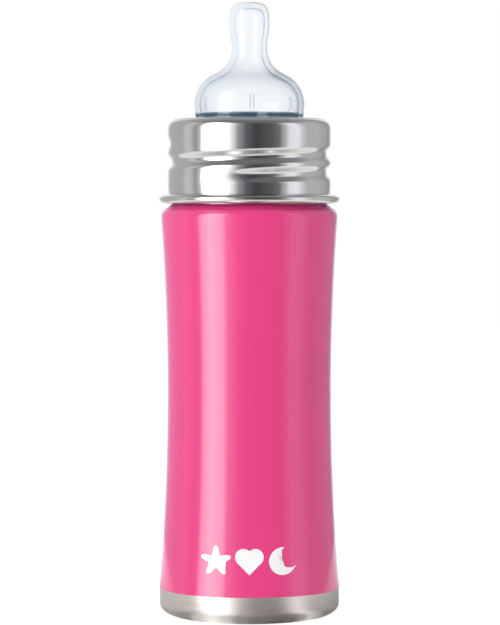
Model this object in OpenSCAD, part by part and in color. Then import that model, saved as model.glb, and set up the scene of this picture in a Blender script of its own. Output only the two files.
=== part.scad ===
// Double-walled steel baby bottle: painted waisted body, bare base cup, screw collar and silicone teat.
// Millimetres. The origin is the centre of the foot ring on the surface it stands on, and +Z is up.
// The front, which carries the printed mark, faces -Y.

/* [Body] */
// Radius of the painted body at its waist
waist_r = 26.75; // [26.5:0.05:27.5]
// Height of the waist above the foot
waist_z = 74; // [68:0.5:80]
// Radius of the long hollow curve that draws the body in at the waist
waist_curve_r = 770; // [740:5:820]
// Radius of the painted shoulder where it passes under the collar
shoulder_r = 25.75; // [25.5:0.05:26]
// Height of the painted shoulder where it passes under the collar
shoulder_z = 134.55; // [133:0.05:134.8]
// Slope of the shoulder, in degrees from level
shoulder_slope = 37.6; // [34:0.1:45]
// Rounding between the body and its sloping shoulder
shoulder_round = 3.1; // [1.5:0.1:4]
// Thickness of the steel sheet of the body, the base, the liner and the neck
sheet = 0.5; // [0.4:0.05:0.6]
// Thickness of the paint
paint = 0.1; // [0.08:0.01:0.15]

/* [Base cup] */
// Height of the bare steel cup, up to the seam with the painted body
base_h = 9.3; // [8:0.1:10]
// How far the rounding at the foot of the cup reaches inwards
base_round_w = 7.6; // [5:0.1:9]
// How far the rounding at the foot of the cup reaches up
base_round_h = 4.1; // [3:0.1:5]
// Width of the flat ring that the bottle stands on
foot_ring = 1.6; // [1.2:0.1:3]
// Height of the hollow inside the foot ring
base_hollow = 1.2; // [0.8:0.1:2]
// Radius of the dimple that holds the vacuum seal
dimple_r = 4.5; // [4:0.1:6]

/* [Liner and neck] */
// Radius of the milk space, the same from its floor to the mouth
bore_r = 24.1; // [23.6:0.1:24.2]
// Height of the milk space's floor
liner_floor_z = 7; // [6.5:0.1:9]
// How far the rolled thread stands out of the neck
thread_rise = 1.35; // [1:0.05:1.4]
// Lead of the thread, the lift in one turn
thread_lead = 6; // [6:0.5:6.5]

/* [Collar] */
// Radius of the collar over its plain band
collar_r = 26.7; // [26.6:0.05:27]
// Height of the edge of the hole in the collar's crown
collar_top_z = 163.5; // [163:0.1:164]
// Slope of the collar's crown, in degrees from level
crown_slope = 8.2; // [6:0.1:9]
// Rounding between the collar's wall and its crown
collar_round = 3.1; // [2.5:0.1:3.5]
// Radius of the hole that the teat is pulled through
collar_hole_r = 17.4; // [17:0.1:17.5]
// Depth of the thread groove rolled into the collar
groove_depth = 1.4; // [1.2:0.05:1.45]
// How far the bead at the foot of the collar stands out of its wall
bead_reach = 2.95; // [2.6:0.05:3.2]

/* [Teat] */
// Radius of the teat's dome
dome_r = 17.95; // [17.8:0.05:18.4]
// Height of the dome's widest place
dome_z = 167.5; // [167:0.1:168]
// Radius of the narrowest place, between the dome and the tip
teat_neck_r = 5.75; // [5.3:0.05:6.2]
// Radius of the tip
tip_r = 6.55; // [6.4:0.05:7.2]
// Height of the whole bottle
top_z = 200.7; // [199:0.1:202]
// Thickness of the silicone
silicone = 1.6; // [1.2:0.1:2]
// Thickness of the flange that the collar presses onto the neck's rim
flange_t = 1.9; // [1.5:0.1:2.2]

/* [Hidden] */
$fn = 96;

// Clearance between pieces that touch on the real bottle but move past each other
touch = 0.05;
// Angular steps around the two rolled threads
turn_steps = 64;

// --- points along arcs and curves, as [radius, height] pairs ---

function arc(centre, r, from, to, steps) = oval(centre, r, r, from, to, steps);
function oval(centre, across, up, from, to, steps) =
    [for (i = [0:steps]) let (a = from + (to - from) * i / steps) centre + [across * cos(a), up * sin(a)]];
function curve(p, q, r, s, steps) =
    [for (i = [0:steps]) let (t = i / steps, u = 1 - t)
        u * u * u * p + 3 * u * u * t * q + 3 * u * t * t * r + t * t * t * s];
function reversed(points) = [for (i = [len(points) - 1:-1:0]) points[i]];
function smooth(t) = let (u = min(max(t, 0), 1)) u * u * (3 - 2 * u);
function total(values) = values * [for (v = values) 1];

// --- outline of the painted body, moved inwards by inset ---

waist_centre = [waist_r + waist_curve_r, waist_z];
foot_r = waist_centre[0] - sqrt(pow(waist_curve_r, 2) - pow(waist_z - base_h, 2));
slope_out = [sin(shoulder_slope), cos(shoulder_slope)];
slope_up = [-cos(shoulder_slope), sin(shoulder_slope)];
slope_reach = [shoulder_r, shoulder_z] * slope_out;
// the shoulder's rounding touches both the slope and the hollow curve
round_reach = slope_reach - shoulder_round;
round_rise = waist_centre * slope_up
    + sqrt(pow(waist_curve_r + shoulder_round, 2) - pow(round_reach - waist_centre * slope_out, 2));
round_centre = round_reach * slope_out + round_rise * slope_up;
round_start = -atan((round_centre[1] - waist_z) / (waist_centre[0] - round_centre[0]));

function foot_angle(inset) = 180 + asin((waist_z - base_h) / (waist_curve_r + inset));
function body_side(inset) = concat(
    arc(waist_centre, waist_curve_r + inset, foot_angle(inset), 180 + round_start, 32),
    arc(round_centre, shoulder_round - inset, round_start, 90 - shoulder_slope, 6));
function slope_at(inset, r) = [r, (slope_reach - inset - r * slope_out[0]) / slope_out[1]];

module turned(points) {
    rotate_extrude() polygon(points);
}

// --- body: painted skin, steel shell, base cup ---

neck_r = bore_r + sheet;
// the shell's lip is welded to the liner, and the neck ring stands on both
lip_rise = 1.5;
lip_z = shoulder_z + lip_rise;
// how far under the collar the paint goes on
hidden_paint = 0.35;
paint_end_r = shoulder_r - hidden_paint;

module colour_coat() {
    color([0.91, 0.28, 0.51])
        turned(concat(
            body_side(0), [slope_at(0, paint_end_r)],
            [slope_at(paint, paint_end_r)], reversed(body_side(paint))));
}

module outer_shell() {
    inner = paint + sheet;
    color([0.72, 0.72, 0.71])
        turned(concat(
            body_side(paint),
            [slope_at(paint, paint_end_r), slope_at(paint, neck_r + sheet), [neck_r + sheet, lip_z]],
            [[neck_r, lip_z], slope_at(inner, neck_r)], reversed(body_side(inner))));
}

cup_r = foot_r - paint;
ring_outer_r = cup_r - base_round_w;
ring_inner_r = ring_outer_r - foot_ring;
// the step up from the foot ring and the step into the dimple are both this wide
step_w = 1.2;
dimple_h = 0.9;
seal_hole_r = 1;

// underside of the cup, from its edge to the seal hole, and the same line one sheet higher
function cup_side(t) = concat(
    [[cup_r - t, base_h]],
    oval([ring_outer_r, base_round_h], base_round_w - t, base_round_h - t, 0, -90, 10),
    [[ring_inner_r, t], [ring_inner_r - step_w, base_hollow + t], [dimple_r + step_w, base_hollow + t],
        [dimple_r, base_hollow + dimple_h + t], [seal_hole_r, base_hollow + dimple_h + t]]);

module base_cup() {
    color([0.70, 0.68, 0.66])
        turned(concat(cup_side(0), reversed(cup_side(sheet))));
}

// a drop of solder glass, which narrows to its foot
seal_r = 3;
seal_foot_r = 1.8;
seal_h = 0.7;

module vacuum_seal() {
    z = base_hollow + dimple_h;
    color([0.35, 0.34, 0.33])
        turned([[0, z - seal_h], [seal_foot_r, z - seal_h], [seal_r, z - seal_h / 3], [seal_r, z],
            [seal_hole_r, z], [seal_hole_r, z + sheet], [0, z + sheet]]);
}

// --- liner and getter ---

liner_round = 5;

function liner_side(t) = concat(
    [[0, liner_floor_z - t]],
    arc([bore_r - liner_round, liner_floor_z + liner_round], liner_round + t, -90, 0, 8),
    [[bore_r + t, lip_z]]);

module inner_liner() {
    color([0.76, 0.76, 0.75])
        turned(concat(liner_side(sheet), reversed(liner_side(0))));
}

getter_r = 4;
getter_h = 1.6;
getter_edge = 0.3;
getter_offset = 11;

module vacuum_getter() {
    color([0.45, 0.45, 0.47])
        translate([getter_offset, 0, liner_floor_z - sheet - getter_h])
            turned([[0, 0], [getter_r - getter_edge, 0], [getter_r, getter_edge], [getter_r, getter_h],
                [0, getter_h]]);
}

// --- rolled threads: the neck's rib and the collar's groove share one right-hand helix ---

// height of the collar's groove at angle 0, on +X, and of the neck's rib half a lead above it
groove_z = 145.35;
rib_z = groove_z + thread_lead / 2;
// where each roll starts and ends, in degrees along its helix, and over how many degrees it dies away
groove_span = [-130, 578];
groove_fade = 70;
rib_span = [-60, 380];
rib_fade = 40;

// share of a roll's full depth at one angle and height: 0 off the roll, 1 along its middle
function roll(angle, z, middle_z, span, fade) = total([for (k = [-1:2]) let (
        along = angle + 360 * k,
        off = abs(z - middle_z - thread_lead * along / 360) * 2 / thread_lead)
    off >= 1 ? 0
        : smooth((along - span[0]) / fade) * smooth((span[1] - along) / fade) * (1 + cos(180 * off)) / 2]);

// one closed outline, listed anticlockwise, swept around Z, each point moved out by its share of the roll
module rolled_ring(outline, push, middle_z, span, fade) {
    m = len(outline);
    points = [for (i = [0:turn_steps - 1]) let (angle = 360 * i / turn_steps)
        for (p = outline) let (r = p[0] + push * roll(angle, p[1], middle_z, span, fade))
            [r * cos(angle), r * sin(angle), p[1]]];
    faces = [for (i = [0:turn_steps - 1]) for (j = [0:m - 1]) let (
            here = i * m, next = (i + 1) % turn_steps * m, k = (j + 1) % m)
        each [[here + j, here + k, next + k], [here + j, next + k, next + j]]];
    polyhedron(points = points, faces = faces);
}

// heights of the points along a stretch that carries a roll
function stretch(r, from, to, steps) = [for (i = [0:steps]) [r, from + (to - from) * i / steps]];

// centre of the collar's top rounding, under its sloping crown
corner_r = collar_r - collar_round;
corner_z = collar_top_z - (collar_round + (corner_r - collar_hole_r) * sin(crown_slope)) / cos(crown_slope);
// point of the collar's crown at a radius, moved down by inset
function crown_at(inset, r) =
    [r, corner_z + (collar_round - inset + (corner_r - r) * sin(crown_slope)) / cos(crown_slope)];
rim_z = crown_at(sheet + touch, corner_r)[1] - flange_t;

neck_foot_z = lip_z + touch;
rib_low_z = 143.6;
rib_high_z = 158.4;
rib_steps = 16;

module neck_thread() {
    rim_r = sheet / 2;
    outline = concat(
        [[neck_r, neck_foot_z]], stretch(neck_r, rib_low_z, rib_high_z, rib_steps),
        arc([bore_r + rim_r, rim_z - rim_r], rim_r, 0, 180, 6),
        stretch(bore_r, rib_high_z, rib_low_z, rib_steps), [[bore_r, neck_foot_z]]);
    color([0.78, 0.78, 0.77])
        rolled_ring(outline, thread_rise, rib_z, rib_span, rib_fade);
}

// --- collar ---

// the bead at the collar's foot: its middle height, its half height, and the angles its lip runs between
bead_z = 136.6;
bead_half = 1.58;
bead_start = -22;
bead_end = -150;
groove_low_z = 140.2;
groove_high_z = 158;
groove_steps = 20;
// the wall is a little narrower at its foot than at the plain band
foot_taper = 0.2;

module collar() {
    inner_r = collar_r - sheet;
    foot_outer_r = collar_r - foot_taper;
    foot_inner_r = inner_r - foot_taper;
    corner = [corner_r, corner_z];
    curl_centre = [collar_r + bead_reach - bead_half, bead_z];
    outline = concat(
        stretch(collar_r, groove_low_z, groove_high_z, groove_steps),
        arc(corner, collar_round, 0, 90 - crown_slope, 5),
        [crown_at(0, collar_hole_r), crown_at(sheet, collar_hole_r)],
        arc(corner, collar_round - sheet, 90 - crown_slope, 0, 5),
        stretch(inner_r, groove_high_z, groove_low_z, groove_steps),
        oval([foot_inner_r, bead_z], bead_reach + foot_taper, bead_half - sheet, 90, 0, 6),
        arc(curl_centre, bead_half - sheet, bead_start, bead_end, 6),
        arc(curl_centre, bead_half, bead_end, bead_start, 6),
        oval([foot_outer_r, bead_z], bead_reach + foot_taper, bead_half, 0, 90, 6));
    color([0.80, 0.80, 0.79])
        rolled_ring(outline, -groove_depth, groove_z, groove_span, groove_fade);
}

// --- teat ---

flange_r = 25.2;
// the flange's rounded edge follows the inside of the collar's rounding, this far from it
flange_gap = 0.2;
// the teat's waist in the collar's hole is this much narrower than the hole
grip_gap = 0.2;
groove_r = collar_hole_r - grip_gap;
// the dome is a little narrower where it meets the collar's top than at its widest place
grip_inset = 0.25;
grip_r = dome_r - grip_inset;
dome_round = 10.55;
// where the dome's round side starts, in degrees
dome_start = -10;
// where the dome's round side hands over to the hollow curve up to the teat's neck, in degrees
hollow_start = 58;
// how strongly the hollow curve keeps its direction at its foot and at its top
hollow_low = 2.4;
hollow_high = 7.1;
teat_neck_z = 186.2;
bulb_z = 193.6;
bulb_steps = 8;
// the tip follows a squared-off oval: 2 would make it a plain oval
tip_power = 3.6;
tip_thick = 2;
// inside radius of the teat from its flange up to the collar's top
seat_inset = 0.6;
seat_r = dome_r - silicone - seat_inset;
feed_hole_r = 0.3;
vent_r = 0.5;

function tip_arc(r, h, steps) = [for (i = [1:steps]) let (a = 90 * i / steps)
    [r * pow(abs(cos(a)), 2 / tip_power), bulb_z + h * pow(sin(a), 2 / tip_power)]];

// side of the teat from just above the collar to the middle of its tip, moved in by t, and down by tip_t
function teat_side(t, tip_t) =
    let (
        centre = [dome_r - dome_round, dome_z],
        start = centre + (dome_round - t) * [cos(hollow_start), sin(hollow_start)],
        lean = [-sin(hollow_start), cos(hollow_start)],
        finish = [teat_neck_r - t, teat_neck_z])
    concat(
        arc(centre, dome_round - t, dome_start, hollow_start, 14),
        curve(start, start + (hollow_low + t) * lean, finish - [0, hollow_high + t], finish, 12),
        [for (i = [1:bulb_steps]) let (up = i / bulb_steps, out = (1 - cos(180 * up)) / 2)
            [teat_neck_r + (tip_r - teat_neck_r) * out - t, teat_neck_z + (bulb_z - teat_neck_z) * up]],
        tip_arc(tip_r - t, top_z - bulb_z - tip_t, 12));

module teat() {
    flange_z = rim_z + touch;
    edge_round = collar_round - sheet - flange_gap;
    edge_start = acos((flange_r - corner_r) / edge_round);
    color([0.88, 0.92, 0.95, 0.6]) {
        difference() {
            turned(concat(
                [[seat_r, flange_z], [flange_r, flange_z]],
                arc([corner_r, corner_z], edge_round, edge_start, 90 - crown_slope, 4),
                [crown_at(sheet + touch, corner_r), crown_at(sheet + touch, groove_r),
                    crown_at(-touch, groove_r), crown_at(-touch, grip_r)],
                teat_side(0, 0),
                reversed(teat_side(silicone, tip_thick)),
                [[seat_r, collar_top_z]]));
            translate([0, 0, top_z - 2 * tip_thick]) cylinder(r = feed_hole_r, h = 3 * tip_thick, $fn = 24);
            translate([0, (flange_r + seat_r) / 2, flange_z - 1])
                cylinder(r = vent_r, h = flange_t + 2, $fn = 24);
        }
    }
}

// --- printed mark: a star, a heart and a moon laid on the paint ---

mark_z = 20.8;
mark_pitch = 10.7;
print_t = 0.06;

// a star with rounded points
module star(r) {
    polygon([for (i = [0:39]) let (a = 9 * i, s = r * (0.45 + 0.55 * pow(abs(cos(2.5 * a)), 3)))
        [-s * sin(a), s * cos(a)]]);
}

module heart(r) {
    translate([0, -r]) rotate(45) {
        square(r * 1.25);
        translate([r * 0.625, r * 1.25]) circle(r = r * 0.625);
        translate([r * 1.25, r * 0.625]) circle(r = r * 0.625);
    }
}

module moon(r) {
    difference() {
        circle(r = r);
        translate([r * 0.5, r * 0.3]) circle(r = r * 0.78);
    }
}

module printed_mark() {
    color("white") intersection() {
        rotate([90, 0, 0]) linear_extrude(height = 2 * foot_r) translate([0, mark_z]) {
            translate([-mark_pitch, 0]) star(5);
            heart(4.3);
            translate([mark_pitch, 0]) moon(4.4);
        }
        turned(concat(body_side(-print_t), reversed(body_side(0))));
    }
}

outer_shell();
base_cup();
inner_liner();
vacuum_getter();
vacuum_seal();
neck_thread();
colour_coat();
printed_mark();
collar();
teat();
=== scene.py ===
"""Baby bottle: painted double-walled steel body, steel screw collar and clear silicone teat, on a pale floor.

The CAD frame gives the places and sizes. Every CAD node but the getter is replaced here by a finely turned
mesh of the same shape, so that polished steel and gloss paint reflect cleanly. Lengths are in millimetres
until the mesh is made.
"""
import math

import bmesh
import bpy
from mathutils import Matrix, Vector


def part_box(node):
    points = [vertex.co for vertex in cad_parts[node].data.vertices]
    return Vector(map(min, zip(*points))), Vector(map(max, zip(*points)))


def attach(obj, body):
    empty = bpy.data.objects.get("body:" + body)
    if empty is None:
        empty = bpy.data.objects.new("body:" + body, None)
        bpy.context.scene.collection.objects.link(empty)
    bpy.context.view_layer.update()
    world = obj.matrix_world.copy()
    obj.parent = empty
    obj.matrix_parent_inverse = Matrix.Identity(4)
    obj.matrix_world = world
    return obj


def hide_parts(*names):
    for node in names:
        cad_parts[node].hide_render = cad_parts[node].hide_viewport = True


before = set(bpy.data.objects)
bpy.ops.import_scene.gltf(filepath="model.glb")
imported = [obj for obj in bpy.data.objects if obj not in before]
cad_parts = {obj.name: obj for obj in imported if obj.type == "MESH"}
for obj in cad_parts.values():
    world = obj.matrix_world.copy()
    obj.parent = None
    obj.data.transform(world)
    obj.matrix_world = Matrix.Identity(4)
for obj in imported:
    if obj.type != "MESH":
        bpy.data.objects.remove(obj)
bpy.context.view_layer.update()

MM = 0.001


def cad_size(node):
    """(outer radius, lowest height, highest height) of a CAD node, in millimetres."""
    low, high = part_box(node)
    return high.x / MM, low.z / MM, high.z / MM


# --- sizes, in millimetres ---

foot_r, seam_z, _ = cad_size("colour_coat")
cup_r = cad_size("base_cup")[0]
bead_r, _, collar_top_z = cad_size("collar")
flange_r, flange_z, top_z = cad_size("teat")
neck_rim_z = cad_size("neck_thread")[2]
lip_z = cad_size("outer_shell")[2]

SHEET = 0.5                     # thickness of every steel wall
TOUCH = 0.05                    # clearance of the teat from the steel
PAINT = foot_r - cup_r          # thickness of the paint skin
WAIST_R = 26.75
WAIST_Z = 74
WAIST_CURVE_R = 770
SHOULDER_R = 25.75
SHOULDER_Z = 134.55
SHOULDER_SLOPE = 37.6
SHOULDER_ROUND = 3.1
HIDDEN_PAINT = 0.35             # how far the paint runs in under the collar from SHOULDER_R
BORE_R = 24.1
LINER_FLOOR_Z = 7
LINER_ROUND = 5
BASE_ROUND_W = 7.6
BASE_ROUND_H = 4.1
FOOT_RING = 1.6
BASE_HOLLOW = 1.2
DIMPLE_R = 4.5
DIMPLE_H = 0.9
SEAL_HOLE_R = 1
LEAD = 6
GROOVE_Z = 145.35               # height of the collar's groove at 0 degrees
GROOVE_SPAN = (-130, 578)       # degrees from its start to its end
GROOVE_FADE = 70
GROOVE_DEPTH = 1.4
THREAD_Z = GROOVE_Z + LEAD / 2  # the neck's thread runs between the groove's turns
THREAD_SPAN = (-60, 380)
THREAD_FADE = 40
THREAD_RISE = 1.35
COLLAR_R = 26.7
COLLAR_ROUND = 3.1
CROWN_SLOPE = 8.2
COLLAR_HOLE_R = 17.4
COLLAR_WALL_Z = 140.2           # foot of the collar's straight wall
BEAD_Z = 136.6
BEAD_HALF = 1.58                # half the bead's height
BEAD_START = -8                 # degrees the bead is curled from and to
BEAD_END = -150
FOOT_TAPER = 0.2
DOME_R = 17.95
DOME_Z = 167.5
DOME_ROUND = 10.55
HOLLOW_START = 58               # degrees at which the dome turns into the hollow below the teat's neck
HOLLOW_LOW = 2.4                # reach of the hollow's curve at its low and at its high end
HOLLOW_HIGH = 7.1
TEAT_NECK_R = 5.75
TEAT_NECK_Z = 186.2
TIP_R = 6.55
BULB_Z = 193.6
BULB_STEPS = 24
TIP_STEPS = 28
TIP_POWER = 3.6                 # how square the tip is: 2 would be round
TIP_THICK = 2
SILICONE = 1.6
FEED_HOLE_R = 0.3
FLANGE_GAP = 0.2                # gap round the flange's edge and in the collar's hole
FLANGE_EDGE = 0.3
GRIP_INSET = 0.5                # foot of the dome, in from its widest
SEAT_INSET = 0.6


# --- outlines, as lists of (radius, height) ---

def sin(degrees):
    return math.sin(math.radians(degrees))


def cos(degrees):
    return math.cos(math.radians(degrees))


SLOPE_OUT = Vector((sin(SHOULDER_SLOPE), cos(SHOULDER_SLOPE)))
SLOPE_REACH = Vector((SHOULDER_R, SHOULDER_Z)) @ SLOPE_OUT
CORNER_R = COLLAR_R - COLLAR_ROUND
corner_z = collar_top_z - (COLLAR_ROUND + (CORNER_R - COLLAR_HOLE_R) * sin(CROWN_SLOPE)) / cos(CROWN_SLOPE)


def oval(centre, across, up, start, end, steps):
    """Points along an oval arc, from one angle to another in degrees."""
    angles = [start + (end - start) * i / steps for i in range(steps + 1)]
    return [(centre[0] + across * cos(a), centre[1] + up * sin(a)) for a in angles]


def arc(centre, r, start, end, steps):
    """Points along a round arc, from one angle to another in degrees."""
    return oval(centre, r, r, start, end, steps)


def curve(p, q, r, s, steps):
    """Points along a cubic Bezier curve."""
    points = []
    for i in range(steps + 1):
        t = i / steps
        u = 1 - t
        weights = (u**3, 3 * u * u * t, 3 * u * t * t, t**3)
        points.append(tuple(sum(w * c[k] for w, c in zip(weights, (p, q, r, s))) for k in (0, 1)))
    return points


def line(start, end, steps):
    """Points along a straight stretch, both ends included."""
    return [tuple(a + (b - a) * i / steps for a, b in zip(start, end)) for i in range(steps + 1)]


def joined(*stretches):
    """The stretches one after another, without the points that repeat."""
    outline = []
    for point in [p for stretch in stretches for p in stretch]:
        if not outline or math.dist(outline[-1], point) > 1e-6:
            outline.append(point)
    if math.dist(outline[0], outline[-1]) < 1e-6:
        outline.pop()
    return outline


def smooth(t):
    """0 below 0, 1 above 1, and a soft rise between."""
    u = min(max(t, 0), 1)
    return u * u * (3 - 2 * u)


def body_side(inset):
    """Side of the painted body from the seam to the shoulder's slope, moved inwards by inset."""
    centre = Vector((WAIST_R + WAIST_CURVE_R, WAIST_Z))
    slope_up = Vector((-SLOPE_OUT.y, SLOPE_OUT.x))
    reach = SLOPE_REACH - SHOULDER_ROUND
    across = reach - centre @ SLOPE_OUT
    rise = centre @ slope_up + math.sqrt((WAIST_CURVE_R + SHOULDER_ROUND) ** 2 - across**2)
    round_centre = reach * SLOPE_OUT + rise * slope_up
    start = -math.degrees(math.atan((round_centre.y - WAIST_Z) / (centre.x - round_centre.x)))
    foot_angle = 180 + math.degrees(math.asin((WAIST_Z - seam_z) / (WAIST_CURVE_R + inset)))
    return joined(
        arc(centre, WAIST_CURVE_R + inset, foot_angle, 180 + start, 96),
        arc(round_centre, SHOULDER_ROUND - inset, start, 90 - SHOULDER_SLOPE, 12))


def body_radius(z):
    """Outer radius of the paint at a height on the hollow curve."""
    return WAIST_R + WAIST_CURVE_R - math.sqrt(WAIST_CURVE_R**2 - (z - WAIST_Z) ** 2)


def slope_at(inset, r):
    """Point of the shoulder's slope at a radius."""
    return r, (SLOPE_REACH - inset - r * SLOPE_OUT.x) / SLOPE_OUT.y


def crown_at(inset, r):
    """Point of the collar's sloping crown at a radius, moved down by inset."""
    return r, corner_z + (COLLAR_ROUND - inset + (CORNER_R - r) * sin(CROWN_SLOPE)) / cos(CROWN_SLOPE)


def cup_side(t):
    """Underside of the base cup from its edge to the seal hole, moved inwards by t."""
    ring_outer = cup_r - BASE_ROUND_W
    ring_inner = ring_outer - FOOT_RING
    step = 1.2
    return joined(
        line((cup_r - t, seam_z), (cup_r - t, BASE_ROUND_H), 6),
        oval((ring_outer, BASE_ROUND_H), BASE_ROUND_W - t, BASE_ROUND_H - t, 0, -90, 24),
        line((ring_inner, t), (ring_inner - step, BASE_HOLLOW + t), 1),
        line((DIMPLE_R + step, BASE_HOLLOW + t), (DIMPLE_R, BASE_HOLLOW + DIMPLE_H + t), 1),
        [(SEAL_HOLE_R, BASE_HOLLOW + DIMPLE_H + t)])


def liner_side(t):
    """Side of the liner from its middle to its top, moved outwards by t."""
    return joined(
        [(0, LINER_FLOOR_Z - t)],
        arc((BORE_R - LINER_ROUND, LINER_FLOOR_Z + LINER_ROUND), LINER_ROUND + t, -90, 0, 12),
        line((BORE_R + t, LINER_FLOOR_Z + LINER_ROUND), (BORE_R + t, lip_z), 24))


def roll(angle, z, middle_z, span, fade):
    """Share of a rolled thread's full depth at an angle in degrees and a height: 1 along its middle."""
    share = 0
    for turn in (-1, 0, 1, 2):
        along = angle + 360 * turn
        off = abs(z - middle_z - LEAD * along / 360) * 2 / LEAD
        if off < 1:
            ends = smooth((along - span[0]) / fade) * smooth((span[1] - along) / fade)
            share += ends * (1 + math.cos(math.pi * off)) / 2
    return share


def teat_side(t, tip_t):
    """Side of the teat from just above the collar to the middle of its tip, moved inwards by t."""
    dome = arc((DOME_R - DOME_ROUND, DOME_Z), DOME_ROUND - t, -10, HOLLOW_START, 40)
    start_r, start_z = dome[-1]
    lean = HOLLOW_LOW + t
    hollow = curve(
        (start_r, start_z), (start_r - lean * sin(HOLLOW_START), start_z + lean * cos(HOLLOW_START)),
        (TEAT_NECK_R - t, TEAT_NECK_Z - HOLLOW_HIGH - t), (TEAT_NECK_R - t, TEAT_NECK_Z), 30)
    bulb = []
    for i in range(BULB_STEPS + 1):
        out = (1 - cos(180 * i / BULB_STEPS)) / 2
        z = TEAT_NECK_Z + (BULB_Z - TEAT_NECK_Z) * i / BULB_STEPS
        bulb.append((TEAT_NECK_R + (TIP_R - TEAT_NECK_R) * out - t, z))
    tip = []
    for i in range(1, TIP_STEPS):
        angle = 90 * i / TIP_STEPS
        tip.append((
            (TIP_R - t) * cos(angle) ** (2 / TIP_POWER),
            BULB_Z + (top_z - BULB_Z - tip_t) * sin(angle) ** (2 / TIP_POWER)))
    return joined(dome, hollow, bulb, tip)


# --- meshes ---

def even_angles(count):
    """Angles in degrees all the way round."""
    return [360 * i / count for i in range(count)]


def turned(name, outline, angles, push=None, closed=True):
    """An outline turned about Z, as a smooth mesh in metres. push(angle, r, z) moves a point outwards. An
    outline that starts and ends on the axis isn't closed along it."""
    bm = bmesh.new()
    rings = []
    for angle in angles:
        ring = []
        for r, z in outline:
            moved = r + (push(angle, r, z) if push else 0)
            ring.append(bm.verts.new((moved * cos(angle) * MM, moved * sin(angle) * MM, z * MM)))
        rings.append(ring)
    count = len(outline)
    for here, there in zip(rings, rings[1:] + rings[:1]):
        for j in range(count if closed else count - 1):
            k = (j + 1) % count
            bm.faces.new((here[j], there[j], there[k], here[k]))
    bmesh.ops.remove_doubles(bm, verts=bm.verts, dist=1e-9)
    return finished(name, bm)


def finished(name, bm, sharp=28):
    """The object from a bmesh: normals outwards, smooth faces, sharp edges kept where the surface breaks."""
    bmesh.ops.recalc_face_normals(bm, faces=bm.faces)
    for face in bm.faces:
        face.smooth = True
    for edge in bm.edges:
        edge.smooth = len(edge.link_faces) != 2 or edge.calc_face_angle() < math.radians(sharp)
    mesh = bpy.data.meshes.new(name)
    bm.to_mesh(mesh)
    bm.free()
    piece = bpy.data.objects.new(name, mesh)
    bpy.context.scene.collection.objects.link(piece)
    return piece


def placed(piece, body, slot, material, *nodes):
    """The piece rides a body, takes a material, and stands for its CAD nodes. The slot is not used."""
    piece.data.materials.append(material)
    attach(piece, body)
    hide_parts(*nodes)


# --- materials ---

class Nodes:
    """A node tree with short ways to add and link nodes."""

    def __init__(self, tree):
        self.tree = tree
        self.tree.nodes.clear()

    def add(self, kind, inputs=None, **settings):
        node = self.tree.nodes.new(kind)
        for key, value in settings.items():
            setattr(node, key, value)
        for key, value in (inputs or {}).items():
            socket = node.inputs[key]
            if isinstance(value, bpy.types.NodeSocket):
                self.tree.links.new(value, socket)
            else:
                socket.default_value = value
        return node

    def math(self, operation, *values):
        return self.add("ShaderNodeMath", dict(enumerate(values)), operation=operation).outputs[0]

    def ramp(self, value, from_low, from_high, to_low=0.0, to_high=1.0):
        """value mapped smoothly from one range to another."""
        node = self.add("ShaderNodeMapRange", {
            "Value": value, "From Min": from_low, "From Max": from_high, "To Min": to_low, "To Max": to_high})
        node.interpolation_type = "SMOOTHSTEP"
        return node.outputs["Result"]

    def noise(self, vector, scale, detail=2.0, roughness=0.5):
        return self.add("ShaderNodeTexNoise", {
            "Vector": vector, "Scale": scale, "Detail": detail, "Roughness": roughness}).outputs["Fac"]

    def mix(self, share, first, second):
        """Mixes two colours."""
        return self.add("ShaderNodeMix", {0: share, 6: first, 7: second}, data_type="RGBA").outputs[2]


def new_material(name):
    material = bpy.data.materials.new(name)
    material.use_nodes = True
    return material, Nodes(material.node_tree)


def around_axis(n, across_scale, along_scale):
    """A noise space that is long around Z and short along it, for marks left by turning and brushing."""
    place = n.add("ShaderNodeTexCoord").outputs["Object"]
    x, y, z = n.add("ShaderNodeSeparateXYZ", {0: place}).outputs
    angle = n.math("ARCTAN2", y, x)
    radius = n.math("SQRT", n.math("ADD", n.math("MULTIPLY", x, x), n.math("MULTIPLY", y, y)))
    # the circle is wrapped through two axes, so that the marks have no seam
    cos_a = n.math("MULTIPLY", n.math("COSINE", angle), across_scale)
    sin_a = n.math("MULTIPLY", n.math("SINE", angle), across_scale)
    height = n.math("MULTIPLY", n.math("ADD", z, radius), along_scale)
    return n.add("ShaderNodeCombineXYZ", {0: cos_a, 1: sin_a, 2: height}).outputs[0]


def paint_material():
    """Gloss pink paint with a faint orange peel, wipe marks around it, and a bluish sheen seen edge on."""
    material, n = new_material("gloss_pink_paint")
    place = n.add("ShaderNodeTexCoord").outputs["Object"]
    cloud = n.noise(place, 18.0, 3.0)
    colour = n.mix(n.ramp(cloud, 0.35, 0.65), (0.785, 0.055, 0.225, 1), (0.815, 0.058, 0.236, 1))
    peel = n.noise(place, 750.0, 2.0)
    wave = n.noise(place, 90.0, 2.0)
    fine = n.add("ShaderNodeBump", {"Strength": 0.05, "Distance": 0.00005, "Height": peel})
    bump = n.add("ShaderNodeBump", {
        "Strength": 0.05, "Distance": 0.0002, "Height": wave, "Normal": fine.outputs[0]})
    wipe = n.noise(around_axis(n, 3.0, 900.0), 1.0, 4.0)
    gloss = n.ramp(wipe, 0.3, 0.8, 0.06, 0.11)
    shader = n.add("ShaderNodeBsdfPrincipled", {
        "Base Color": colour, "Roughness": gloss, "IOR": 1.6, "Normal": bump.outputs[0],
        "Sheen Weight": 0.45, "Sheen Roughness": 0.35, "Sheen Tint": (0.4, 0.45, 1.0, 1)})
    n.add("ShaderNodeOutputMaterial", {"Surface": shader.outputs[0]})
    return material


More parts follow.
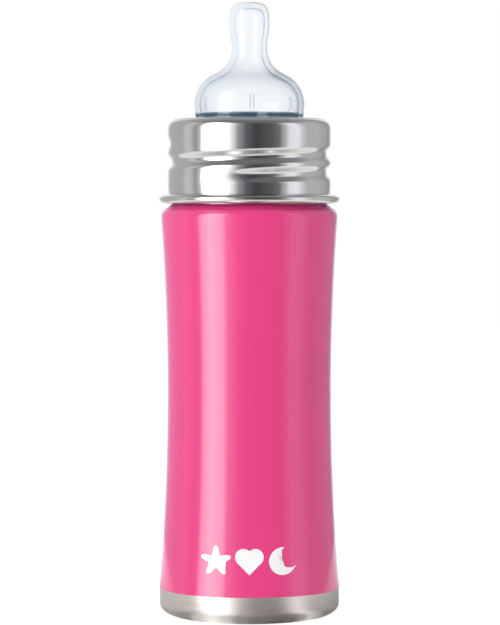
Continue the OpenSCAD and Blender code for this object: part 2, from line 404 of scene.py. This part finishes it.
def print_material():
    """Satin white ink with a fine speckle."""
    material, n = new_material("white_print_ink")
    place = n.add("ShaderNodeTexCoord").outputs["Object"]
    speckle = n.noise(place, 2500.0, 2.0)
    colour = n.mix(speckle, (0.90, 0.89, 0.90, 1), (0.96, 0.95, 0.96, 1))
    bump = n.add("ShaderNodeBump", {"Strength": 0.1, "Distance": 0.00001, "Height": speckle})
    shader = n.add("ShaderNodeBsdfPrincipled", {
        "Base Color": colour, "Roughness": n.ramp(speckle, 0.3, 0.7, 0.28, 0.4), "Normal": bump.outputs[0]})
    n.add("ShaderNodeOutputMaterial", {"Surface": shader.outputs[0]})
    return material


def steel_material(name, tint, rough, spread, line_depth, drawn_out):
    """Steel worked around the axis: fine lines in its height and gloss, and faint smears in its colour."""
    material, n = new_material(name)
    lines = n.noise(around_axis(n, 2.0, 9000.0), 1.0, 3.0, 0.6)
    smears = n.noise(around_axis(n, 6.0, 350.0), 1.0, 3.0)
    dark = tuple(c * 0.9 for c in tint)
    colour = n.mix(smears, (*dark, 1), (*tint, 1))
    gloss = n.ramp(lines, 0.25, 0.75, rough, rough + spread)
    bump = n.add("ShaderNodeBump", {"Strength": 1.0, "Distance": line_depth, "Height": lines})
    tangent = n.add("ShaderNodeTangent", direction_type="RADIAL", axis="Z")
    shader = n.add("ShaderNodeBsdfPrincipled", {
        "Base Color": colour, "Metallic": 1.0, "Roughness": gloss, "Anisotropic": drawn_out,
        "Anisotropic Rotation": 0.25, "Tangent": tangent.outputs[0], "Normal": bump.outputs[0]})
    n.add("ShaderNodeOutputMaterial", {"Surface": shader.outputs[0]})
    return material


def silicone_material():
    """Clear silicone, seen straight through: bluish where it is thick, milky where it is seen edge on, and
    with painted
    shade: a dark outline where it is seen edge on and dark lines where its inner wall turns away, as thick
    clear walls have."""
    material, n = new_material("clear_silicone")
    coords = n.add("ShaderNodeTexCoord").outputs
    place = coords["Object"]
    x, y, height = n.add("ShaderNodeSeparateXYZ", {0: place}).outputs
    haze = n.noise(place, 160.0, 3.0)
    ripple = n.noise(place, 320.0, 2.0)
    bump = n.add("ShaderNodeBump", {"Strength": 0.12, "Distance": 0.00005, "Height": ripple}).outputs[0]
    edge_on = n.add("ShaderNodeLayerWeight", {"Blend": 0.3, "Normal": bump}).outputs["Facing"]
    milk_share = n.math(
        "ADD", n.math("MULTIPLY", n.math("POWER", edge_on, 2.0), 0.8), n.ramp(haze, 0.3, 0.7, 0.005, 0.02))

    # the flanks of the ribs face around the axis, and get painted shade: dark lines painted along them
    radial = n.add("ShaderNodeVectorMath", {
        0: n.add("ShaderNodeCombineXYZ", {0: x, 1: y}).outputs[0]}, operation="NORMALIZE").outputs[0]
    around = n.add("ShaderNodeVectorMath", {0: radial, 1: (0, 0, 1)}, operation="CROSS_PRODUCT").outputs[0]
    sideways = n.add("ShaderNodeVectorMath", {0: coords["Normal"], 1: around}, operation="DOT_PRODUCT")
    painted_flank_lines = n.math("MULTIPLY", n.ramp(n.math("ABSOLUTE", sideways.outputs["Value"]), 0.25, 0.7), 0.36)

    # painted shade: the inner wall, which faces the axis, is painted dark where it turns away, and the outer
    # wall at its very edge; both are painted darker on the +X side, the side away from the light
    painted_side_shade = n.ramp(n.add("ShaderNodeSeparateXYZ", {0: radial}).outputs[0], -0.1, 0.9, 0.13, 0.26)
    outwards = n.add("ShaderNodeVectorMath", {0: coords["Normal"], 1: radial}, operation="DOT_PRODUCT")
    inner_wall = n.ramp(outwards.outputs["Value"], -0.6, -0.9)
    turned_away = n.ramp(n.add("ShaderNodeLayerWeight", {"Blend": 0.5}).outputs["Facing"], 0.35, 0.75)
    painted_wall_line = n.math("MULTIPLY", n.math("MULTIPLY", inner_wall, turned_away), painted_side_shade)
    painted_outer_edge = n.math("MULTIPLY", n.ramp(edge_on, 0.3, 0.7, 0.0, 1.8), n.math("SUBTRACT", 1.0, inner_wall))
    outline = n.math("MULTIPLY", painted_outer_edge, painted_side_shade)

    # painted shade: the lowest part of the dome stands in the steel's hole, and is painted dark there in
    # patches, for the dark hole seen through it
    painted_patches = n.ramp(n.noise(around_axis(n, 3.5, 0.0), 1.0, 2.0), 0.42, 0.56, 0.55, 0.92)
    foot = n.math("MULTIPLY", n.ramp(height, (collar_top_z + 1.5) * MM, (collar_top_z + 0.45) * MM), painted_patches)

    # the painted shade darkens the milky colour: painted dark lines, outline and the foot's dark band
    painted_shade_share = n.math("MAXIMUM", n.math("MAXIMUM", foot, n.math("MAXIMUM", painted_wall_line, outline)), painted_flank_lines)
    share = n.math("MAXIMUM", milk_share, painted_shade_share)
    milk_and_painted_shade = n.mix(n.ramp(painted_shade_share, 0.05, 0.4), (0.88, 0.93, 1.0, 1), (0.10, 0.17, 0.24, 1))
    lit = n.add("ShaderNodeBsdfDiffuse", {"Color": milk_and_painted_shade, "Normal": bump})
    glow = n.add("ShaderNodeBsdfTranslucent", {"Color": milk_and_painted_shade, "Normal": bump})
    milky = n.add("ShaderNodeMixShader", {0: 0.7, 1: lit.outputs[0], 2: glow.outputs[0]})
    clear = n.add("ShaderNodeBsdfTransparent", {"Color": (1, 1, 1, 1)})
    body = n.add("ShaderNodeMixShader", {0: share, 1: clear.outputs[0], 2: milky.outputs[0]})
    shine = n.add("ShaderNodeBsdfGlossy", {"Color": (1, 1, 1, 1), "Roughness": 0.08, "Normal": bump})
    outside = n.math("SUBTRACT", 1.0, n.add("ShaderNodeNewGeometry").outputs["Backfacing"])
    fresnel = n.add("ShaderNodeFresnel", {"IOR": 1.41, "Normal": bump}).outputs[0]
    mirror = n.math("MULTIPLY", n.math("MULTIPLY", fresnel, 0.6), outside)
    surface = n.add("ShaderNodeMixShader", {0: mirror, 1: body.outputs[0], 2: shine.outputs[0]})
    depth = n.add("ShaderNodeVolumeAbsorption", {"Color": (0.56, 0.72, 0.85, 1), "Density": 42.0})
    n.add("ShaderNodeOutputMaterial", {"Surface": surface.outputs[0], "Volume": depth.outputs[0]})
    return material


def plain_metal(name, tint, rough, grain):
    """Small inner pieces: sintered or cast, with a fine even grain."""
    material, n = new_material(name)
    place = n.add("ShaderNodeTexCoord").outputs["Object"]
    speckle = n.noise(place, grain, 3.0)
    colour = n.mix(speckle, (*[c * 0.8 for c in tint], 1), (*tint, 1))
    bump = n.add("ShaderNodeBump", {"Strength": 0.3, "Distance": 0.00005, "Height": speckle})
    shader = n.add("ShaderNodeBsdfPrincipled", {
        "Base Color": colour, "Metallic": 0.6, "Roughness": rough, "Normal": bump.outputs[0]})
    n.add("ShaderNodeOutputMaterial", {"Surface": shader.outputs[0]})
    return material


paint = paint_material()
ink = print_material()
polished = steel_material(
    "polished_steel", tint=(0.66, 0.655, 0.65), rough=0.10, spread=0.05, line_depth=0.0000010, drawn_out=0.5)
satin = steel_material(
    "satin_steel", tint=(0.65, 0.61, 0.57), rough=0.25, spread=0.07, line_depth=0.0000018, drawn_out=0.0)
drawn = steel_material(
    "drawn_steel", tint=(0.60, 0.595, 0.58), rough=0.2, spread=0.1, line_depth=0.000002, drawn_out=0.6)
silicone = silicone_material()
getter_metal = plain_metal("sintered_getter", tint=(0.25, 0.25, 0.27), rough=0.6, grain=4000.0)
seal_glass = plain_metal("solder_glass", tint=(0.14, 0.14, 0.14), rough=0.4, grain=2500.0)


# --- pieces ---

def make_paint():
    end_r = SHOULDER_R - HIDDEN_PAINT
    outline = joined(
        body_side(0), line(slope_at(0, SHOULDER_R + 2), slope_at(0, end_r), 6),
        [slope_at(PAINT, end_r)], reversed(body_side(PAINT)))
    placed(turned("paint_skin", outline, even_angles(320)), "bottle", "pink_paint", paint, "colour_coat")


def make_shell():
    neck_r = BORE_R + SHEET
    outline = joined(
        body_side(PAINT), [slope_at(PAINT, neck_r + SHEET), (neck_r + SHEET, lip_z), (neck_r, lip_z),
                           slope_at(PAINT + SHEET, neck_r)],
        reversed(body_side(PAINT + SHEET)))
    placed(turned("shell_wall", outline, even_angles(192)), "bottle", "shell_steel", drawn, "outer_shell")


def make_cup():
    outline = joined(cup_side(0), reversed(cup_side(SHEET)))
    placed(turned("foot_cup", outline, even_angles(320)), "bottle", "satin_steel", satin, "base_cup")


def make_liner():
    outline = joined(liner_side(SHEET), reversed(liner_side(0)))
    liner = turned("milk_liner", outline, even_angles(192), closed=False)
    placed(liner, "bottle", "liner_steel", drawn, "inner_liner")


def make_neck():
    rim = SHEET / 2
    foot_z = cad_size("neck_thread")[1]
    outline = joined(
        line((BORE_R + SHEET, foot_z), (BORE_R + SHEET, neck_rim_z - rim), 96),
        arc((BORE_R + rim, neck_rim_z - rim), rim, 0, 180, 12),
        line((BORE_R, neck_rim_z - rim), (BORE_R, foot_z), 96))

    def push(angle, r, z):
        return THREAD_RISE * roll(angle, z, THREAD_Z, THREAD_SPAN, THREAD_FADE)

    neck = turned("threaded_neck", outline, even_angles(240), push)
    placed(neck, "bottle", "liner_steel", drawn, "neck_thread")


def make_collar():
    inner_r = COLLAR_R - SHEET
    reach = bead_r - COLLAR_R
    corner = (CORNER_R, corner_z)
    curl = (bead_r - BEAD_HALF, BEAD_Z)
    edge = SHEET / 2
    outline = joined(
        line((COLLAR_R, corner_z), (COLLAR_R, COLLAR_WALL_Z), 96),
        oval((COLLAR_R - FOOT_TAPER, BEAD_Z), reach + FOOT_TAPER, BEAD_HALF, 90, 0, 18),
        arc(curl, BEAD_HALF, BEAD_START, BEAD_END, 18),
        arc(curl, BEAD_HALF - SHEET, BEAD_END, BEAD_START, 14),
        oval((inner_r - FOOT_TAPER, BEAD_Z), reach + FOOT_TAPER, BEAD_HALF - SHEET, 0, 90, 14),
        line((inner_r, COLLAR_WALL_Z), (inner_r, corner_z), 96),
        arc(corner, COLLAR_ROUND - SHEET, 0, 90 - CROWN_SLOPE, 12),
        arc(crown_at(edge, COLLAR_HOLE_R + edge), edge, -90 - CROWN_SLOPE, -270 - CROWN_SLOPE, 10),
        line(crown_at(0, COLLAR_HOLE_R + 1), crown_at(0, CORNER_R + 1), 6),
        arc(corner, COLLAR_ROUND, 90 - CROWN_SLOPE, 0, 16))

    def push(angle, r, z):
        return -GROOVE_DEPTH * roll(angle, z, GROOVE_Z, GROOVE_SPAN, GROOVE_FADE)

    collar = turned("screw_collar", outline, even_angles(320), push)
    placed(collar, "collar", "polished_steel", polished, "collar")


# the teat's inner ribs: the first one's azimuth, their number, half their width and their height
RIB_TURN = 273
RIB_COUNT = 3
RIB_PITCH = 360 / RIB_COUNT
RIB_HALF = 0.75
RIB_HEIGHT = 0.55
RIB_END = 0.8
# lowest and highest place of the ribs inside the dome and inside the neck, with their share of the height
RIBS = ((164.2, 170.6, 1), (182.5, 191.2, 0.25))


def make_teat():
    groove_r = COLLAR_HOLE_R - FLANGE_GAP
    seat_r = DOME_R - SILICONE - SEAT_INSET
    edge_round = COLLAR_ROUND - SHEET - FLANGE_GAP
    edge_start = math.degrees(math.acos((flange_r - CORNER_R) / edge_round))
    grip = crown_at(-TOUCH, DOME_R - GRIP_INSET)
    inner = teat_side(SILICONE, TIP_THICK)
    outline = joined(
        line((seat_r, flange_z), (flange_r - FLANGE_EDGE, flange_z), 8), [(flange_r, flange_z + FLANGE_EDGE)],
        arc((CORNER_R, corner_z), edge_round, edge_start, 90 - CROWN_SLOPE, 10),
        [crown_at(SHEET + TOUCH, groove_r), crown_at(-TOUCH, groove_r)],
        arc((grip[0], grip[1] + FLANGE_EDGE), FLANGE_EDGE, -90, 0, 6),
        teat_side(0, 0), [(FEED_HOLE_R, top_z), (FEED_HOLE_R, top_z - TIP_THICK)], reversed(inner),
        [(seat_r, collar_top_z)])
    ribbed = set(inner)

    def push(angle, r, z):
        if (r, z) not in ribbed:
            return 0
        off = abs((angle - RIB_TURN + RIB_PITCH / 2) % RIB_PITCH - RIB_PITCH / 2) * math.radians(r)
        across = smooth(1.6 - 1.6 * off / RIB_HALF)
        along = sum(
            smooth((z - low) / RIB_END) * smooth((high - z) / RIB_END) * share for low, high, share in RIBS)
        return -RIB_HEIGHT * across * along

    teat = turned("silicone_teat", outline, rib_angles(), push)
    placed(teat, "teat", "clear_silicone", silicone, "teat")


def rib_angles():
    """Angles around the teat, close together at its ribs."""
    steps = [-14 + 0.7 * i for i in range(41)]
    steps += [14.5 + 2 * i for i in range(int((RIB_PITCH - 29) / 2) + 1)]
    return [(RIB_TURN + RIB_PITCH * k + step) % 360 for k in range(RIB_COUNT) for step in steps]


def make_seal():
    r, low, _ = cad_size("vacuum_seal")
    z = BASE_HOLLOW + DIMPLE_H
    rim_z = z - 0.25
    outline = joined(
        [(0, low), (r / 2, low)], oval((r / 2, rim_z), r / 2, rim_z - low, -90, 0, 10),
        [(r, z), (SEAL_HOLE_R, z), (SEAL_HOLE_R, z + SHEET), (0, z + SHEET)])
    plug = turned("vacuum_plug", outline, even_angles(96), closed=False)
    placed(plug, "bottle", "seal_glass", seal_glass, "vacuum_seal")


# --- printed mark ---

MARK_Z = 20.8
MARK_PITCH = 10.7
INK_T = 0.05
INK_GAP = 0.005


def star(r):
    """A five-pointed star with rounded points."""
    points = []
    for angle in range(0, 360, 3):
        reach = r * (0.45 + 0.55 * abs(cos(2.5 * angle)) ** 3)
        points.append((-reach * sin(angle), reach * cos(angle)))
    return points


def heart(r):
    """A square with two round lobes, stood on its corner."""
    side = r * 1.25
    points = [(0, 0), (side, 0)] + arc((side, side / 2), side / 2, -90, 90, 24)
    points += arc((side / 2, side), side / 2, 0, 180, 24)
    return joined([(x * cos(45) - y * sin(45), x * sin(45) + y * cos(45) - r) for x, y in points])


def moon(r):
    """A disc with a smaller one bitten out of it."""
    bite = (r * 0.5, r * 0.3)
    bite_r = r * 0.78
    away = math.hypot(*bite)
    toward = math.degrees(math.atan2(bite[1], bite[0]))
    meet = (away**2 + r**2 - bite_r**2) / (2 * away)
    open_half = math.degrees(math.acos(meet / r))
    bite_half = 180 - math.degrees(math.acos((away - meet) / bite_r))
    outer = arc((0, 0), r, toward + open_half, toward + 360 - open_half, 60)
    inner = arc(bite, bite_r, toward + 360 - bite_half, toward + bite_half, 48)
    return joined(outer, inner)


def make_mark():
    """The shapes are drawn flat, cut every millimetre so that they can bend, raised and laid on the body."""
    bm = bmesh.new()
    for shape, across in ((star(5), -MARK_PITCH), (heart(4.3), 0), (moon(4.4), MARK_PITCH)):
        bm.faces.new([bm.verts.new((x + across, 0, y + MARK_Z)) for x, y in shape])
    bmesh.ops.triangulate(bm, faces=bm.faces)
    for normal, cuts in (((1, 0, 0), range(-17, 18)), ((0, 0, 1), range(12, 28))):
        for cut in cuts:
            spot = tuple(c * cut for c in normal)
            bmesh.ops.bisect_plane(bm, geom=[*bm.verts, *bm.edges, *bm.faces], plane_co=spot, plane_no=normal)
    raised = bmesh.ops.extrude_face_region(bm, geom=bm.faces[:])
    raised = {v for v in raised["geom"] if isinstance(v, bmesh.types.BMVert)}
    for v in bm.verts:
        r = body_radius(v.co.z) + (INK_T if v in raised else INK_GAP)
        v.co = Vector((v.co.x, -math.sqrt(r * r - v.co.x**2), v.co.z)) * MM
    placed(finished("printed_shapes", bm), "bottle", "white_print", ink, "printed_mark")


make_paint()
make_shell()
make_cup()
make_liner()
make_neck()
make_collar()
make_teat()
make_seal()
make_mark()
# the getter keeps its CAD shape
getter_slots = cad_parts["vacuum_getter"].data.materials
getter_slots.clear()
getter_slots.append(getter_metal)


# --- studio ---

# the light that the bottle mirrors, tuned: (azimuth in degrees, positive to the right of the camera's
# side, brightness, tint)
COOL = (0.96, 0.98, 1.05)
WARM = (1.05, 1.0, 0.94)
PLAIN = (1.0, 1.0, 1.0)
WALLS = [
    (-180, 1.0, PLAIN), (-165, 1.0, PLAIN), (-150, 0.60, PLAIN), (-112, 0.60, PLAIN), (-97, 0.80, PLAIN),
    (-90, 0.72, PLAIN), (-82, 0.45, PLAIN), (-74, 0.65, PLAIN), (-64, 5.0, PLAIN), (-53, 7.0, PLAIN),
    (-39, 5.6, PLAIN), (-28, 1.4, PLAIN), (-13, 0.38, COOL), (-3, 0.15, COOL), (10, 0.08, COOL),
    (28, 0.13, WARM), (42, 0.20, WARM), (50, 0.6, PLAIN), (60, 1.2, COOL), (72, 1.25, COOL),
    (82, 0.85, PLAIN), (90, 0.64, PLAIN), (110, 0.66, PLAIN), (130, 0.56, PLAIN), (150, 0.40, PLAIN),
    (165, 1.0, PLAIN), (180, 1.0, PLAIN)]
# the table close to the foot, which only the bare base band mirrors: a painted reflection of the room's
# lights, glowing on the table by azimuth
PAINTED_TABLE_REFLECTION = [
    (-180, 0.5, PLAIN), (-110, 0.56, PLAIN), (-66, 0.55, PLAIN), (-57, 0.42, PLAIN), (-49, 0.42, PLAIN),
    (-40, 1.15, PLAIN), (-27, 2.0, PLAIN), (-16, 1.25, PLAIN), (-8, 0.48, PLAIN), (5, 0.26, PLAIN),
    (20, 0.16, PLAIN), (32, 0.22, PLAIN), (41, 0.7, PLAIN), (48, 1.3, PLAIN), (56, 0.8, PLAIN),
    (66, 0.36, PLAIN), (95, 0.33, PLAIN), (115, 0.26, PLAIN), (180, 0.5, PLAIN)]
TABLE_R = 0.3
FLOOR_R = 2.5


def brightness_around(n, x, y, stops):
    """Colour by azimuth, from stops of (degrees, brightness, tint); 0 degrees is the camera's side."""
    brightest = float(max(brightness for _, brightness, _ in stops))
    azimuth = n.math("ARCTAN2", x, n.math("MULTIPLY", y, -1.0))
    place = n.math("ADD", n.math("DIVIDE", azimuth, 2 * math.pi), 0.5)
    node = n.add("ShaderNodeValToRGB", {0: place})
    ramp = node.color_ramp
    ramp.interpolation = "EASE"
    for i, (degrees, brightness, tint) in enumerate(stops):
        spot = degrees / 360 + 0.5
        stop = ramp.elements[i] if i < 2 else ramp.elements.new(spot)
        stop.position = spot
        stop.color = (*[c * brightness / brightest for c in tint], 1)
    return n.add("ShaderNodeVectorMath", {0: node.outputs[0], 3: brightest}, operation="SCALE").outputs[0]


def floor_material():
    """A pale floor for the camera. Reflections see painted light on it: a painted reflection of the room's
    lights in patches close to the foot, a painted shadow right beside the foot, and painted shade near the
    bottle that brightens further off. It lights the bottle evenly."""
    material, n = new_material("pale_floor")
    place = n.add("ShaderNodeTexCoord").outputs["Object"]
    x, y, _ = n.add("ShaderNodeSeparateXYZ", {0: place}).outputs
    grain = n.noise(place, 400.0, 3.0)
    colour = n.mix(grain, (0.24, 0.24, 0.24, 1), (0.26, 0.26, 0.26, 1))
    away = n.add("ShaderNodeVectorMath", {0: place}, operation="LENGTH").outputs["Value"]
    close = n.ramp(away, 0.13, 0.08)
    # painted shadow: the table's glow is painted darker right beside the foot, where the foot would shade it
    painted_foot_shadow = n.ramp(away, foot_r * MM, 1.4 * foot_r * MM, 0.62, 1.0)
    painted_patches = n.add("ShaderNodeVectorMath", {
        0: brightness_around(n, x, y, PAINTED_TABLE_REFLECTION), 3: painted_foot_shadow}, operation="SCALE")
    # painted shade: further from the foot, reflections see the table darker near the bottle and brighter away
    # from it
    further = n.ramp(away, 0.06, 0.18, 0.22, 0.9)
    mirrored = n.mix(close, further, painted_patches.outputs[0])
    path = n.add("ShaderNodeLightPath").outputs
    glow = n.mix(path["Is Diffuse Ray"], mirrored, (0.55, 0.55, 0.55, 1))
    plain = n.add("ShaderNodeBsdfPrincipled", {
        "Base Color": colour, "Roughness": 0.8, "Emission Color": (1, 1, 1, 1), "Emission Strength": 0.92})
    glazed = n.add("ShaderNodeBsdfPrincipled", {
        "Base Color": colour, "Roughness": 0.25, "Specular IOR Level": n.ramp(close, 0.0, 1.0, 0.5, 0.0),
        "Emission Color": glow, "Emission Strength": 1.0})
    shader = n.add("ShaderNodeMixShader", {
        0: path["Is Camera Ray"], 1: glazed.outputs[0], 2: plain.outputs[0]})
    n.add("ShaderNodeOutputMaterial", {"Surface": shader.outputs[0]})
    return material


def make_floor():
    """A round table and the floor around it, of one pale material. Only the table is mirrored."""
    material = floor_material()
    angles = even_angles(128)
    disc = bmesh.new()
    disc.faces.new([disc.verts.new((TABLE_R * cos(a), TABLE_R * sin(a), 0)) for a in angles])
    ring = bmesh.new()
    inner, outer = ([ring.verts.new((r * cos(a), r * sin(a), 0)) for a in angles] for r in (TABLE_R, FLOOR_R))
    for k in range(len(angles)):
        ring.faces.new((inner[k - 1], outer[k - 1], outer[k], inner[k]))
    for name, bm in (("studio_table", disc), ("studio_floor", ring)):
        floor = finished(name, bm)
        floor.data.materials.append(material)
        floor.visible_glossy = name == "studio_table"


def make_world():
    """White behind the bottle; for reflections, a pale room with a large softbox at the left, a dim wide
    panel at the right, and a dark camera side and ceiling; for diffuse light, mostly an even white."""
    world = bpy.data.worlds.new("studio")
    bpy.context.scene.world = world
    world.use_nodes = True
    n = Nodes(world.node_tree)
    direction = n.add("ShaderNodeTexCoord").outputs["Generated"]
    x, y, z = n.add("ShaderNodeSeparateXYZ", {0: direction}).outputs
    bright_walls = brightness_around(n, x, y, WALLS)
    ceiling = n.mix(n.ramp(y, -0.5, 0.6), (0.20, 0.20, 0.21, 1), (0.45, 0.45, 0.45, 1))
    colour = n.mix(n.ramp(z, 0.55, 0.80), bright_walls, ceiling)
    room = n.add("ShaderNodeBackground", {"Color": colour, "Strength": 1.0})
    path = n.add("ShaderNodeLightPath")
    behind = n.add("ShaderNodeBackground", {"Color": (1, 1, 1, 1), "Strength": n.ramp(x, 0.2, 0.9, 1.1, 0.6)})
    white = n.add("ShaderNodeBackground", {"Color": (1, 1, 1, 1), "Strength": 1.0})
    even = n.add("ShaderNodeBackground", {"Color": (1, 1, 1, 1), "Strength": 0.45})
    softened = n.add("ShaderNodeMixShader", {
        0: n.math("MULTIPLY", path.outputs["Is Diffuse Ray"], 0.6), 1: room.outputs[0], 2: even.outputs[0]})
    through = n.add("ShaderNodeMixShader", {
        0: path.outputs["Is Transmission Ray"], 1: softened.outputs[0], 2: behind.outputs[0]})
    both = n.add("ShaderNodeMixShader", {
        0: path.outputs["Is Camera Ray"], 1: through.outputs[0], 2: white.outputs[0]})
    n.add("ShaderNodeOutputWorld", {"Surface": both.outputs[0]})


def front_light():
    """A large soft light right of the camera at table height, which lights the paint but isn't mirrored."""
    light = bpy.data.lights.new("front_light", "AREA")
    light.shape = "RECTANGLE"
    light.size = 0.8
    light.size_y = 0.6
    light.energy = 5.0
    lamp = bpy.data.objects.new("front_light", light)
    bpy.context.scene.collection.objects.link(lamp)
    lamp.location = (0.4, -1.13, 0.0)
    lamp.rotation_euler = (Vector((0, 0, 0.1)) - lamp.location).to_track_quat("-Z", "Y").to_euler()
    lamp.visible_camera = False
    lamp.visible_glossy = False


def make_camera():
    data = bpy.data.cameras.new("camera")
    data.sensor_width = 36
    data.lens = 176
    camera = bpy.data.objects.new("camera", data)
    bpy.context.scene.collection.objects.link(camera)
    camera.location = (0.0002, -1.0, 0.13455)
    camera.rotation_euler = (math.radians(90 - 2.014), 0, 0)
    bpy.context.scene.camera = camera


make_floor()
make_world()
front_light()
make_camera()
bpy.context.scene.view_settings.view_transform = "Standard"
